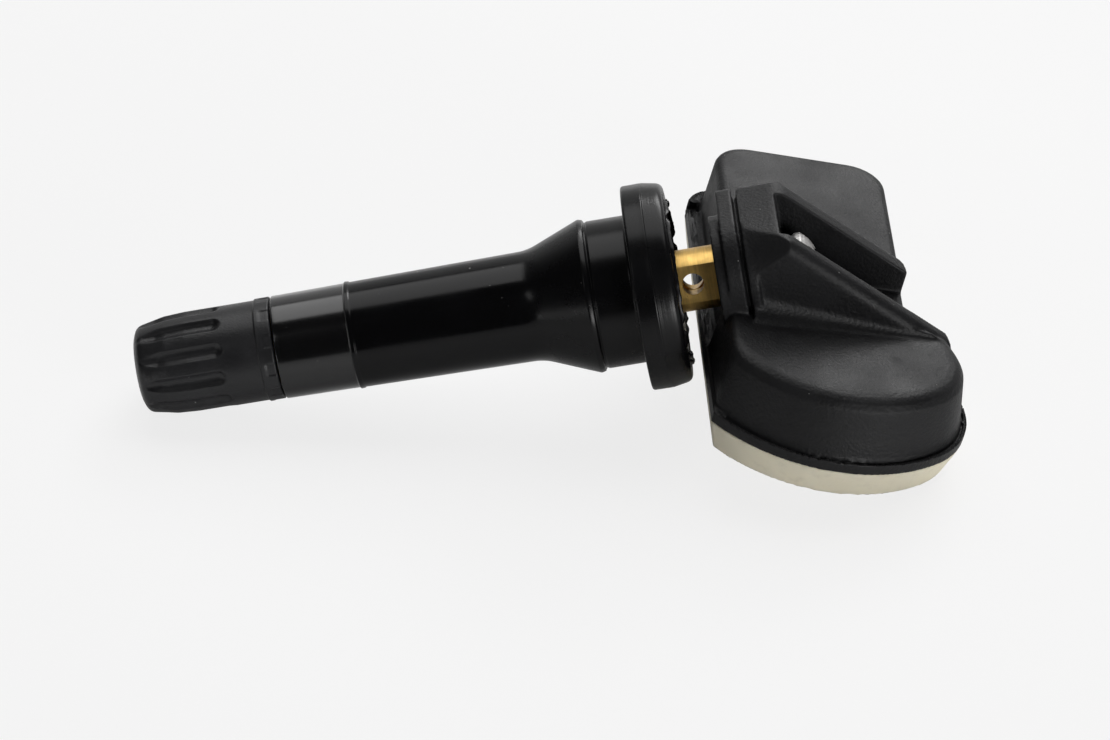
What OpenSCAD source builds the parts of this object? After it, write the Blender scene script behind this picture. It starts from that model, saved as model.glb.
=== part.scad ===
// Tyre pressure sensor on a snap-in rubber valve.
// Frame: X along the valve axis with the cap toward -X, +Z up,
// origin at the centre of the flange face that meets the inside of the rim.

/* [Dust cap] */
// Diameter of the cap body
cap_d = 9.54; // [9:0.02:10.5]
// Diameter of the lip at the mouth of the cap
cap_lip_d = 9.8; // [9.6:0.02:11]
// Length of the cap
cap_l = 13.85; // [12.5:0.05:15]
// Width of the notched lip band
cap_lip_w = 1.45; // [1:0.05:2]
// Number of grip flutes around the cap
cap_flutes = 11; // [7:1:14]
// Radius of the cutter that leaves one grip flute
flute_r = 0.85; // [0.6:0.05:1]
// Depth of a grip flute
flute_depth = 0.42; // [0.2:0.02:0.5]
// Width of the notches in the lip, one for each flute
lip_notch_w = 1.3; // [0.8:0.05:1.6]
// Thickness of the end wall of the cap
cap_end_wall = 1.3; // [1:0.05:1.6]
// Thickness of the sealing washer in the cap
cap_seal_t = 0.8; // [0.5:0.05:1.2]

/* [Valve stem] */
// Outer diameter of the cap thread
thread_d = 7.7; // [7.4:0.02:8]
// Pitch of the cap thread
thread_pitch = 0.794; // [0.7:0.002:0.9]
// Depth of the cap thread
thread_depth = 0.45; // [0.3:0.01:0.6]
// Diameter of the metal shank inside the rubber
shank_d = 6.4; // [5.8:0.05:7]
// Diameter of the round tail bar
tail_d = 5.9; // [5.4:0.05:6.2]
// Distance across the two flats of the tail
tail_flats = 4.7; // [4.4:0.05:5]
// Angle of the flats above the side direction
tail_flat_angle = 25; // [0:1:45]
// Distance from the flange face to the end of the tail
tail_end_x = 11.2; // [10.6:0.05:11.6]
// Diameter of the cross air hole
air_hole_d = 2.05; // [1.6:0.05:2.4]
// Distance from the flange face to the cross air hole
air_hole_x = 5.4; // [5.3:0.05:5.9]
// Diameter of the air passage along the stem
air_bore_d = 2.2; // [1.8:0.05:2.6]

/* [Rubber] */
// Distance from the flange face to the outer end of the rubber
rubber_l = 33.9; // [31:0.1:36]
// Diameter of the rubber at its outer end
rubber_tip_d = 9.8; // [9.6:0.05:10.4]
// Distance from the flange face to the moulded step line
step_line_x = 27; // [24:0.1:30]
// Diameter of the rubber where the flare begins
rubber_neck_d = 10.48; // [10.2:0.02:11]
// Distance from the flange face to the start of the flare
flare_x = 10.4; // [9.5:0.1:12]
// Diameter of the snap ridge
ridge_d = 14.64; // [14.3:0.02:15.2]
// Distance from the flange face to the snap ridge
ridge_x = 4.5; // [4.2:0.05:5.2]
// Diameter of the seat that fills the rim hole
seat_d = 14.04; // [13.6:0.02:14.2]
// Diameter of the flange
flange_d = 19.5; // [18.5:0.1:20.5]
// Thickness of the flange
flange_t = 4.3; // [3.9:0.05:4.7]
// Diameter of the flash ring on the back of the flange
flash_d = 15.6; // [14.5:0.1:16.4]

/* [Valve core] */
// Diameter of the core head
core_head_d = 5.1; // [4.8:0.02:5.3]
// Diameter of the core barrel
core_barrel_d = 3.4; // [3.2:0.02:3.6]
// Length of the core from its head to the end of its barrel
core_l = 10.5; // [10:0.1:11]
// Diameter of the core pin
core_pin_d = 1.1; // [1:0.02:1.2]
// Travel of the core pin when it is pressed
core_travel = 1.2; // [0.8:0.1:1.4]
// Wire diameter of the core spring
spring_wire_d = 0.26; // [0.2:0.01:0.3]
// Number of turns of the core spring
spring_turns = 6; // [4:1:8]

/* [Housing] */
// Tilt of the base plane against the valve axis
base_tilt = 22; // [18:1:26]
// Height of the valve axis above the underside, measured at foot_x
axis_height = 9.5; // [9:0.1:10.5]
// Place along the valve axis at which axis_height is measured
foot_x = 5.5; // [5:0.1:6]
// Thickness of the base cover
base_t = 3.2; // [2.8:0.1:3.6]
// Inward draft of the base cover at its underside
base_draft = 1; // [0.4:0.1:1.4]
// Height of the rim band above the base cover
rim_h = 1.2; // [0.8:0.1:1.6]
// Step from the rim band to the walls above it
rim_step = 0.6; // [0.4:0.1:1]
// Radius of the curved front of the rim
lobe_r = 16; // [15.5:0.1:17]
// Radius of the outer corner of the battery lobe
lobe_corner_r = 8.6; // [8:0.1:10]
// Distance from the left edge to the centre of the curved front
lobe_x = 11.7; // [11.2:0.1:12.2]
// Sideways place of the centre of the curved front
lobe_y = -2.6; // [-3.2:0.1:-2]
// Left edge of the rim, from the point under foot_x
left_edge = 2.1; // [1.8:0.1:2.6]
// Length of the electronics lobe along the base
far_l = 19.6; // [19:0.1:20.5]
// Distance from the valve axis to the far edge of the rim
far_y = 23.2; // [22.5:0.1:24]
// Corner radius of the rim at the far edge
far_corner_r = 3.6; // [3:0.1:5]
// Height of the battery lobe above the underside
lobe_h = 10.3; // [10:0.1:10.8]
// Height of the electronics lobe above the underside
far_h = 10.8; // [10.4:0.1:11.5]
// Rounding of the top edge of the battery lobe
lobe_round = 1.8; // [1:0.1:2.4]
// Width of the ledge beside the electronics lobe
far_ledge = 1.3; // [1:0.1:1.6]
// Width of the notch across that ledge
notch_w = 1.6; // [1:0.1:2.4]
// Width of the groove between the rim and the walls
rim_groove_w = 0.32; // [0.2:0.02:0.4]
// Inward draft of the walls of the battery lobe
lobe_draft = 0.9; // [0.4:0.1:1.2]
// Rounding of the top edge of the electronics lobe
far_round = 0.8; // [0.5:0.1:1.5]
// Thickness of the housing walls
wall = 1.6; // [1.4:0.1:1.9]

/* [Tower] */
// Place of the pad face that meets the tail
pad_x = 7.7; // [7.4:0.1:8]
// Radius of the pad around the tail
pad_r = 5.6; // [5:0.1:6]
// Step from the pad face to the plate face
pad_step = 1; // [0.6:0.1:1.4]
// Place where the plate ends and the block begins
block_x = 10.2; // [9.9:0.1:10.5]
// Place of the face at which the channel between the webs begins
seat_x = 14.2; // [13.8:0.1:14.6]
// Height of the boss that the screw head rests on
boss_h = 0.9; // [0.6:0.1:1.2]
// Height of the tower top above the valve axis
tower_z = 6.1; // [5.8:0.1:6.6]
// Width of the channel between the two webs
channel_w = 6.4; // [6.2:0.1:7]
// Thickness of the web beside the battery lobe
near_web_t = 1.9; // [1.6:0.1:2.6]
// Thickness of the web beside the electronics lobe
far_web_t = 2.5; // [2:0.1:3]
// Rounding of the outer top edge of each web
web_round = 1.2; // [0.6:0.1:1.6]
// Rounding of the far upper corner of the plate
plate_round = 1.8; // [1:0.1:3]
// Height of the plate above the tower top
plate_rise = 0.3; // [0:0.05:0.5]
// Width of the rib beside the plate
rib_w = 0.9; // [0.6:0.1:1.2]
// Height of the rib above the face of the web
rib_h = 0.45; // [0.3:0.05:0.6]
// Fall of the web tops against the base plane
web_slope = 26; // [24:1:28]
// Height of the channel floor above the underside
channel_z = 9.3; // [9.2:0.1:9.8]

/* [Screw] */
// Diameter of the screw thread
screw_d = 3; // [2.5:0.1:3]
// Diameter of the screw head
screw_head_d = 5.5; // [5:0.1:6]
// Height of the screw head
screw_head_h = 2.3; // [2:0.1:2.8]

/* [Electronics] */
// Diameter of the coin cell
cell_d = 16; // [12.5:0.5:16]
// Thickness of the coin cell
cell_t = 3.2; // [2:0.1:3.2]
// Thickness of the circuit board
board_t = 1; // [0.8:0.1:1.2]
// Diameter of the pressure port
port_d = 1.6; // [1.2:0.1:2]

/* [Hidden] */
$fn = 64;

// Clearances
fit_gap = 0.05;
seat_gap = 0.1;
overcut = 1;

// Dust cap
cap_open_x = -rubber_l - seat_gap;
cap_tip_x = cap_open_x - cap_l;
cap_bore_r = thread_d / 2 + fit_gap;
cap_inner_x = cap_tip_x + cap_end_wall;
cap_dome_l = 3.6;
cap_crown_r = 3.1;
cap_crown_rise = 0.12;
notch_depth = 0.16;
flute_start = 0.38;

// Valve stem
mouth_x = cap_inner_x + cap_seal_t + 2 * fit_gap;
thread_end_x = cap_open_x - 0.6;
head_r = 4.6;
head_x = [0.6, 2.6];
flat_start_x = 3.4;
core_chamber_r = 2;
core_throat_x = mouth_x + 6.4;
core_seat_x = mouth_x + 7.6;
cup_t = 1.1;
core_pin_tail_l = 0.6;
core_recess = 0.5;
chamber_end_x = mouth_x + core_recess + core_l + cup_t + core_pin_tail_l + core_travel + 0.6;
air_end_x = air_hole_x + air_hole_d / 2;
screw_hole_depth = 3.4;

// Valve core
core_head_x = mouth_x + core_recess;
core_head_l = 4;
core_end_x = core_head_x + core_l;
core_cavity_r = core_barrel_d / 2 - 0.35;
core_cavity_x = [core_head_x + 2.4, core_end_x - 1];
core_pin_r = core_pin_d / 2;
collar_r = core_cavity_r - 0.15;
collar_x = core_cavity_x[0] + 0.3;
collar_t = 0.4;
cup_r = core_chamber_r - 0.35;
spring_r = (core_pin_r + core_cavity_r) / 2;
spring_sides = 8;
spring_steps = 14;

// Housing outline, in the base frame
lobe_c = [left_edge + lobe_x, lobe_y];
right_edge = left_edge + far_l;
front_end_a = -50;
taper_a = 21;
rim_top = base_t + rim_h;
shoulder_z = 6.9;
half_channel = channel_w / 2;
near_y = half_channel + near_web_t;
far_web_y = half_channel + far_web_t;
far_draft = 0.6;
left_step = 0.25;
lobe_left_r = 4.2;
tower_fillet = 2.6;
fillet_end_r = 0.3;
groove_w = 0.45;
groove_depth = 0.5;
bend_r = 2.6;
slope_a = base_tilt + web_slope;
bend_x = seat_x + 0.6;
web_end_r = 2.2;
crown_slope = 0.28;
boss_r = 2.4;
head_seat_x = seat_x + boss_h;
rim_groove_inset = 0.28;
rim_groove_depth = 0.45;
notch_far_y = far_y - 2.6;
notch_depth_z = 1;

// Electronics
cell_c = lobe_c + [-1.5, -4.4];
cell_z = base_t + 0.55;
board_z = base_t + 0.9;
board_top = board_z + board_t;
board_x = [left_edge + wall + 1.4, right_edge - wall - 1.4];
board_y = [far_web_y + 1.2, far_y - wall - 1.6];
tab_t = 0.2;
tab_w = 3;
pocket_z = far_h - wall;

function arc(c, r, a0, a1, n) =
    [for (i = [0:n]) let (a = a0 + (a1 - a0) * i / n) c + r * [cos(a), sin(a)]];

// Points of the curved front of the rim, moved inward by inset
function front_points(inset) =
    let (
        r = lobe_r - inset,
        a_left = acos((lobe_c[0] - left_edge - inset) / r),
        corner = lobe_c + (lobe_r - lobe_corner_r) * [cos(front_end_a), sin(front_end_a)]
    )
    concat(
        arc(lobe_c, r, 180 + a_left, 360 + front_end_a, 36),
        arc(corner, lobe_corner_r - inset, front_end_a + 4, taper_a, 14)
    );

// Points of the two rounded far corners, with an inset of its own on the left
function far_points(inset, left_inset, r) =
    concat(
        arc([right_edge - inset - r, far_y - inset - r], r, 0, 90, 8),
        arc([left_edge + left_inset + r, far_y - inset - r], r, 90, 180, 8)
    );

function rim_outline(inset) =
    let (
        front = front_points(inset),
        last = front[len(front) - 1],
        edge = right_edge - inset,
        join = [edge, last[1] + (last[0] - edge) / tan(taper_a)]
    )
    concat(front, [join], far_points(inset, inset, far_corner_r - inset));

// Turns a shape made around +Z so that it lies around the valve axis
module on_axis() {
    rotate([0, 90, 0])
        children();
}

// Places children in the frame of the base: underside at z = 0
module on_base() {
    translate([foot_x, 0, 0])
        rotate([0, base_tilt, 0])
            translate([0, 0, -axis_height])
                children();
}

// Extrudes a profile drawn in X and Z along Y, from y0 to y1
module along_y(y0, y1) {
    translate([0, y1, 0])
        rotate([90, 0, 0])
            linear_extrude(y1 - y0)
                children();
}

// Extrudes a profile drawn in Y and Z along X, from x0 to x1
module along_x(x0, x1) {
    translate([x0, 0, 0])
        rotate([90, 0, 90])
            linear_extrude(x1 - x0)
                children();
}

module ring(r_in, r_out, x0, x1) {
    on_axis()
        rotate_extrude()
            polygon([[r_in, x0], [r_out, x0], [r_out, x1], [r_in, x1]]);
}

module rod(r, x0, x1) {
    translate([x0, 0, 0])
        on_axis()
            cylinder(r = r, h = x1 - x0);
}

// Bar with two flats, as the tail and as the socket that it fits
module flatted_bar(r, flats, x0, x1) {
    intersection() {
        rod(r, x0, x1);
        rotate([-tail_flat_angle, 0, 0])
            translate([x0 - overcut, -flats / 2, -r - overcut])
                cube([x1 - x0 + 2 * overcut, flats, 2 * (r + overcut)]);
    }
}

module cap_flute_cutter() {
    x0 = cap_tip_x + 1.2;
    x1 = cap_open_x - cap_lip_w - 4.5;
    z = cap_d / 2 - flute_depth + flute_r;
    translate([x0, 0, z]) {
        rod(flute_r, 0, x1 - x0);
        sphere(r = flute_r, $fn = 32);
        translate([x1 - x0, 0, 0])
            sphere(r = flute_r, $fn = 32);
    }
}

module cap_shell() {
    r = cap_d / 2;
    lip_r = cap_lip_d / 2;
    color("#1b1b1c")
        difference() {
            on_axis()
                rotate_extrude()
                    polygon(concat(
                        [[0, cap_tip_x]],
                        [[cap_crown_r, cap_tip_x + cap_crown_rise]],
                        arc([cap_crown_r, cap_tip_x + cap_crown_rise + 1], 1, -60, -15, 4),
                        [[r - 0.15, cap_tip_x + cap_dome_l]],
                        [[r, cap_tip_x + cap_dome_l + 2]],
                        [[r, cap_open_x - cap_lip_w - 0.15]],
                        [[lip_r, cap_open_x - cap_lip_w]],
                        [[lip_r, cap_open_x - 0.2]],
                        [[lip_r - 0.2, cap_open_x]],
                        [[0, cap_open_x]]
                    ));
            rod(cap_bore_r, cap_inner_x, cap_open_x + overcut);
            for (i = [0:cap_flutes - 1])
                rotate([360 * (i + flute_start) / cap_flutes, 0, 0]) {
                    cap_flute_cutter();
                    translate([cap_open_x - cap_lip_w + 0.35, -lip_notch_w / 2, lip_r - notch_depth])
                        cube([cap_lip_w, lip_notch_w, overcut]);
                }
        }
}

module cap_seal() {
    color("#3a3a3c")
        rod(cap_bore_r - 0.25, cap_inner_x + fit_gap, cap_inner_x + fit_gap + cap_seal_t);
}

// Outline of the cap thread: one ridge for each turn
function thread_points() =
    let (
        r1 = thread_d / 2,
        r0 = r1 - thread_depth,
        turns = floor((thread_end_x - mouth_x - 1) / thread_pitch)
    )
    [for (i = [0:turns - 1], p = [[r0, 0.02], [r1, 0.38], [r1, 0.5], [r0, 0.86]])
        [p[0], mouth_x + 0.6 + (i + p[1]) * thread_pitch]];

module stem_tube() {
    shank_r = shank_d / 2;
    color("#c9a35a")
        difference() {
            union() {
                on_axis()
                    rotate_extrude()
                        polygon(concat(
                            [[0, mouth_x], [thread_d / 2 - thread_depth, mouth_x]],
                            thread_points(),
                            [
                                [thread_d / 2 - thread_depth, thread_end_x],
                                [shank_r, thread_end_x + 0.3],
                                [shank_r, head_x[0] - 1.2],
                                [head_r, head_x[0]],
                                [head_r, head_x[1]],
                                [tail_d / 2, head_x[1] + 0.6],
                                [tail_d / 2, flat_start_x],
                                [0, flat_start_x]
                            ]
                        ));
                flatted_bar(tail_d / 2, tail_flats, flat_start_x - fit_gap, tail_end_x);
            }
            on_axis()
                rotate_extrude()
                    polygon([
                        [0, mouth_x - overcut],
                        [core_head_d / 2 + fit_gap, mouth_x - overcut],
                        [core_head_d / 2 + fit_gap, core_throat_x - 1.4],
                        [core_chamber_r + 0.2, core_throat_x],
                        [core_chamber_r, core_seat_x],
                        [core_chamber_r, chamber_end_x],
                        [air_bore_d / 2, chamber_end_x + 1],
                        [air_bore_d / 2, air_end_x],
                        [0, air_end_x]
                    ]);
            rod(screw_d / 2, tail_end_x - screw_hole_depth, tail_end_x + overcut);
            rotate([-tail_flat_angle, 0, 0])
                translate([air_hole_x, 0, 0])
                    rotate([90, 0, 0])
                        cylinder(d = air_hole_d, h = 2 * tail_d, center = true);
        }
}

module stem_rubber() {
    tip_r = rubber_tip_d / 2;
    neck_r = rubber_neck_d / 2;
    ridge_r = ridge_d / 2;
    seat_r = seat_d / 2;
    flange_r = flange_d / 2;
    flash_r = flash_d / 2;
    step_r = tip_r + 0.1;
    flare_slope = 22;
    flare_blend_r = 4;
    blend_c = [neck_r + flare_blend_r, -flare_x];
    back_round = 1.3;
    color("#202022")
        difference() {
            on_axis()
                rotate_extrude($fn = 96)
                    polygon(concat(
                        [[0, -rubber_l], [tip_r - 0.15, -rubber_l], [tip_r, -rubber_l + 0.15]],
                        [[step_r, -step_line_x - 0.12], [step_r + 0.1, -step_line_x]],
                        arc(blend_c, flare_blend_r, 180, 180 - flare_slope, 4),
                        arc([ridge_r - 0.5, -ridge_x], 0.5, -20, 60, 5),
                        [[seat_r, -ridge_x + 0.85]],
                        arc([seat_r + 0.35, -0.35], 0.35, 180, 90, 4),
                        [[flange_r - 0.4, 0], [flange_r - 0.1, 0.25]],
                        [[flange_r, 1.9]],
                        arc([flange_r - back_round, flange_t - back_round - 0.05], back_round, 10, 80, 5),
                        [
                            [flash_r + 0.3, flange_t],
                            [flash_r + 0.12, flange_t + 0.35],
                            [flash_r - 0.12, flange_t + 0.35],
                            [flash_r - 0.3, flange_t - 0.1],
                            [0, flange_t - 0.1]
                        ]
                    ));
            // The rubber is moulded around the metal stem
            on_axis()
                rotate_extrude()
                    polygon([
                        [0, -rubber_l - overcut],
                        [thread_d / 2, -rubber_l - overcut],
                        [thread_d / 2, -rubber_l + 0.3],
                        [shank_d / 2, -rubber_l + 0.9],
                        [shank_d / 2, head_x[0] - 1.2],
                        [head_r, head_x[0]],
                        [head_r, head_x[1]],
                        [tail_d / 2, head_x[1] + 0.6],
                        [tail_d / 2, flange_t + overcut],
                        [0, flange_t + overcut]
                    ]);
        }
}

module core_barrel() {
    color("#b9b9b4")
        difference() {
            union() {
                rod(core_head_d / 2, core_head_x, core_head_x + core_head_l);
                rod(core_barrel_d / 2, core_head_x, core_end_x);
            }
            rod(core_pin_r + 0.2, core_head_x - overcut, core_end_x + overcut);
            rod(core_cavity_r, core_cavity_x[0], core_cavity_x[1]);
            // Two side slots of the key bridge
            for (side = [0, 180])
                rotate([side, 0, 0])
                    translate([core_head_x - overcut, -core_head_d / 2 - overcut, 1.15])
                        cube([overcut + 1.9, core_head_d + 2 * overcut, core_head_d]);
        }
}

module core_seal() {
    color("#a8442f")
        on_axis()
            rotate_extrude()
                polygon([
                    [core_barrel_d / 2, core_head_x + core_head_l],
                    [core_head_d / 2 - 0.1, core_head_x + core_head_l],
                    [core_chamber_r + 0.12, core_head_x + core_head_l + 1.4],
                    [core_barrel_d / 2, core_head_x + core_head_l + 1.4]
                ]);
}

module core_pin() {
    color("#c8a25c") {
        rod(core_pin_r, mouth_x + 0.3, core_end_x + cup_t + core_pin_tail_l);
        rod(collar_r, collar_x, collar_x + collar_t);
    }
}

module core_cup() {
    color("#1c1c1c")
        ring(core_pin_r, cup_r, core_end_x, core_end_x + cup_t);
}

// Points of one ring of the spring wire at angle a
function spring_ring(a, x) =
    [for (k = [0:spring_sides - 1])
        let (
            b = 360 * k / spring_sides,
            r = spring_r + spring_wire_d / 2 * cos(b)
        )
        [x + spring_wire_d / 2 * sin(b), r * cos(a), r * sin(a)]];

module core_spring() {
    x0 = collar_x + collar_t + spring_wire_d / 2 + 0.02;
    x1 = core_cavity_x[1] - spring_wire_d / 2 - 0.02;
    count = spring_turns * spring_steps;
    points = [for (i = [0:count])
        each spring_ring(360 * i / spring_steps, x0 + (x1 - x0) * i / count)];
    sides = [for (i = [0:count - 1], k = [0:spring_sides - 1])
        let (
            a = i * spring_sides + k,
            b = i * spring_sides + (k + 1) % spring_sides
        )
        [a, a + spring_sides, b + spring_sides, b]];
    start = [for (k = [0:spring_sides - 1]) k];
    end = [for (k = [spring_sides - 1:-1:0]) count * spring_sides + k];
    color("#c9c9c6")
        polyhedron(points, concat([start], sides, [end]));
}

// Solid between two outlines with the same number of points
module drafted(z0, outline0, z1, outline1) {
    n = len(outline0);
    points = concat(
        [for (p = outline0) [p[0], p[1], z0]],
        [for (p = outline1) [p[0], p[1], z1]]
    );
    sides = [for (i = [0:n - 1])
        let (k = (i + 1) % n)
        each [[i, n + i, n + k], [i, n + k, k]]];
    polyhedron(points, concat(
        [[for (i = [0:n - 1]) i]],
        [[for (i = [n - 1:-1:0]) n + i]],
        sides
    ));
}

// Plan of the battery lobe, moved inward by inset, with a round corner beside the tower
function near_outline(inset, left_inset, corner_r) =
    let (
        r = lobe_r - inset,
        left = left_edge + left_inset,
        round_x = left + corner_r,
        reach = r - corner_r,
        round_c = [round_x, lobe_c[1] - sqrt(reach * reach - pow(lobe_c[0] - round_x, 2))],
        touch_a = 180 + acos((lobe_c[0] - round_x) / reach),
        corner_c = lobe_c + (lobe_r - lobe_corner_r) * [cos(front_end_a), sin(front_end_a)],
        end = corner_c + (lobe_corner_r - inset) * [cos(taper_a), sin(taper_a)]
    )
    concat(
        arc(round_c, corner_r, 180, touch_a, 10),
        arc(lobe_c, r, touch_a + 2, 360 + front_end_a, 30),
        arc(corner_c, lobe_corner_r - inset, front_end_a + 4, taper_a, 14),
        [[end[0] - (-half_channel - end[1]) * tan(taper_a), -half_channel]],
        [[left, -half_channel]]
    );

// Plan of the electronics lobe, which also carries the webs
function far_outline(inset, left_inset) =
    concat(
        [[left_edge + left_inset, -half_channel - 0.01], [right_edge - inset, -half_channel - 0.01]],
        far_points(inset, left_inset, far_corner_r - 0.4)
    );

module slice(z, outline) {
    translate([0, 0, z - 0.01])
        linear_extrude(0.01)
            polygon(outline);
}

// Battery lobe, drafted and rounded at its top
module near_lobe() {
    top_inset = rim_step + lobe_draft;
    hull() {
        slice(rim_top - 0.4, near_outline(rim_step, left_step, 0.8));
        slice(lobe_h - lobe_round, near_outline(top_inset, 2 * left_step, lobe_left_r));
        for (a = [25, 50, 70, 90])
            slice(
                lobe_h - lobe_round * (1 - sin(a)),
                near_outline(
                    top_inset + lobe_round * (1 - cos(a)),
                    2 * left_step + lobe_round * (1 - cos(a)) / 2,
                    lobe_left_r
                )
            );
    }
}

// Electronics lobe, drafted and rounded at its top
module far_lobe() {
    top_inset = rim_step + far_draft;
    hull() {
        slice(rim_top - 0.4, far_outline(rim_step, far_ledge));
        slice(far_h - far_round, far_outline(top_inset, far_ledge));
        for (a = [35, 65, 90])
            slice(
                far_h - far_round * (1 - sin(a)),
                far_outline(top_inset + far_round * (1 - cos(a)), far_ledge + far_round * (1 - cos(a)))
            );
    }
}

// Upright plate drawn in Y and Z, with its top at z and two round corners
module arch(near_w, far_w, z, near_r, far_r) {
    spread = 0.5;
    depth = 12;
    polygon(concat(
        arc([far_w - far_r, z - far_r], far_r, 0, 90, 7),
        arc([near_r - near_w, z - near_r], near_r, 90, 180, 14),
        [[-near_w - spread, -depth], [far_w + spread, -depth]]
    ));
}

// Section across both webs, with round outer edges and its top at z = 0
module rounded_top(r) {
    polygon(concat(
        [[far_web_y, -30]],
        arc([far_web_y - r, -r], r, 0, 90, 6),
        arc([r - near_y, -r], r, 90, 180, 6),
        [[-near_y, -30]]
    ));
}

// Rounds the near edge of the block, less and less away from the plate
module crown() {
    crown_l = 30;
    crown_z = tower_z - near_y;
    translate([block_x, 0, crown_z])
        on_axis()
            cylinder(r1 = near_y, r2 = near_y + crown_slope * crown_l, h = crown_l);
    translate([0, 0, -crown_l])
        cube([2 * crown_l, crown_l, 2 * crown_l]);
    translate([0, -crown_l, crown_z - 2 * crown_l])
        cube([2 * crown_l, 2 * crown_l, 2 * crown_l]);
}

// Side view of the block and the webs, in the frame of the valve
module web_side() {
    polygon(concat(
        [[block_x + groove_w, -20], [block_x + groove_w, tower_z]],
        arc([bend_x - bend_r * tan(slope_a / 2), tower_z - bend_r], bend_r, 90, 90 - slope_a, 6),
        [[bend_x + 20, tower_z - 20 * tan(slope_a)], [bend_x + 20, -20]]
    ));
}

// Plan of the two webs, with a round end on the far one
module web_plan() {
    end_x = right_edge - rim_step - 0.4;
    polygon(near_outline(rim_step + lobe_draft, left_step, 2));
    polygon(concat(
        [[left_edge + rim_step, -half_channel - 0.01], [end_x, -half_channel - 0.01]],
        arc([end_x - web_end_r, far_web_y - web_end_r], web_end_r, 0, 90, 6),
        [[left_edge + rim_step, far_web_y]]
    ));
}

// Block behind the plate and the two webs that run down from it
module webs() {
    intersection() {
        along_y(-12, 12)
            web_side();
        translate([0, 0, tower_z])
            along_x(pad_x, 40)
                rounded_top(web_round);
        translate([bend_x, 0, tower_z])
            rotate([0, slope_a, 0])
                along_x(-20, 40)
                    rounded_top(web_round);
        crown();
        on_base()
            translate([0, 0, rim_top])
                linear_extrude(30)
                    web_plan();
    }
}

// Section of the fillet at the foot of a web at y, on a roof at z
function foot_section(y, side, z, r) =
    let (
        buried = 0.3,
        sink = 0.04,
        steps = 6,
        section = concat(
            [[y - side * buried, z - buried], [y - side * buried, z + r - sink]],
            [for (i = [0:steps])
                let (a = 90 * i / steps)
                [y + side * (r * (1 - cos(a)) - sink), z + r * (1 - sin(a)) - sink]],
            [[y + side * (r - sink), z - buried]]
        )
    )
    [for (i = [0:len(section) - 1]) section[side < 0 ? i : len(section) - 1 - i]];

// Fillets between the webs and the roofs, narrower towards the right
module web_feet() {
    near_end_x = right_edge + 3;
    far_end_x = right_edge - rim_step - far_draft - far_round;
    intersection() {
        on_base()
            rotate([90, 0, 90]) {
                drafted(
                    left_edge + wall, foot_section(-near_y, -1, lobe_h, tower_fillet),
                    near_end_x, foot_section(-near_y, -1, lobe_h, fillet_end_r)
                );
                drafted(
                    left_edge + far_ledge + far_round, foot_section(far_web_y, 1, far_h, tower_fillet),
                    far_end_x, foot_section(far_web_y, 1, far_h, fillet_end_r)
                );
            }
        along_y(-12, 12)
            web_side();
    }
}

// Plate and pad that stand across the valve axis and hold the tail
module tower_plate() {
    // Pad around the tail
    along_x(pad_x, block_x)
        arch(pad_r, pad_r, pad_r, pad_r, pad_r);
    // Plate
    along_x(pad_x + pad_step, block_x)
        arch(near_y + rib_h, far_web_y + 0.1, tower_z + plate_rise, near_y, plate_round);
    // Neck between the plate and the block
    along_x(block_x - 0.1, block_x + groove_w + 0.1)
        arch(
            near_y - groove_depth / 2,
            far_web_y - groove_depth,
            tower_z - groove_depth,
            near_y - groove_depth,
            plate_round
        );
    // Rib that stands proud of the webs beside the plate
    along_x(block_x + groove_w, block_x + groove_w + rib_w)
        arch(near_y + rib_h, far_web_y + 0.1, tower_z, near_y, plate_round);
}

// Room for the cell, the board and the parts on it
module housing_cavity() {
    cell_roof_z = cell_z + cell_t + tab_t + 0.35;
    translate([cell_c[0], cell_c[1], -overcut])
        cylinder(r = cell_d / 2 + 0.3, h = cell_roof_z + overcut);
    translate([cell_c[0] - 2 * tab_w, cell_c[1], -overcut])
        cube([4 * tab_w, board_y[0] - cell_c[1], cell_roof_z + overcut]);
    translate([board_x[0] - 0.4, board_y[0] - 0.4, -overcut])
        cube([
            board_x[1] - board_x[0] + 0.8,
            board_y[1] - board_y[0] + 0.8,
            pocket_z + overcut
        ]);
}

// Groove along the foot of the front wall
module rim_groove() {
    start_x = left_edge + 0.9;
    on_base()
        intersection() {
            translate([0, 0, rim_top - rim_groove_depth])
                linear_extrude(2 * rim_groove_depth)
                    difference() {
                        polygon(rim_outline(rim_groove_inset));
                        polygon(rim_outline(rim_groove_inset + rim_groove_w));
                    }
            translate([start_x, -20, 0])
                cube([40, 20 - half_channel, 20]);
        }
}

// Notch across the ledge beside the electronics lobe
module ledge_notch() {
    on_base()
        translate([left_edge - overcut, notch_far_y - notch_w, rim_top - notch_depth_z])
            cube([far_ledge + overcut, notch_w, notch_depth_z + 0.4]);
}

// Channel for the screw head and its driver, round the boss under the head
module driver_channel() {
    difference() {
        intersection() {
            translate([seat_x, -half_channel, -12])
                cube([30, channel_w, 30]);
            on_base()
                translate([-20, -20, channel_z])
                    cube([80, 40, 40]);
        }
        rod(boss_r, seat_x - overcut, head_seat_x);
    }
}

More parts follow.
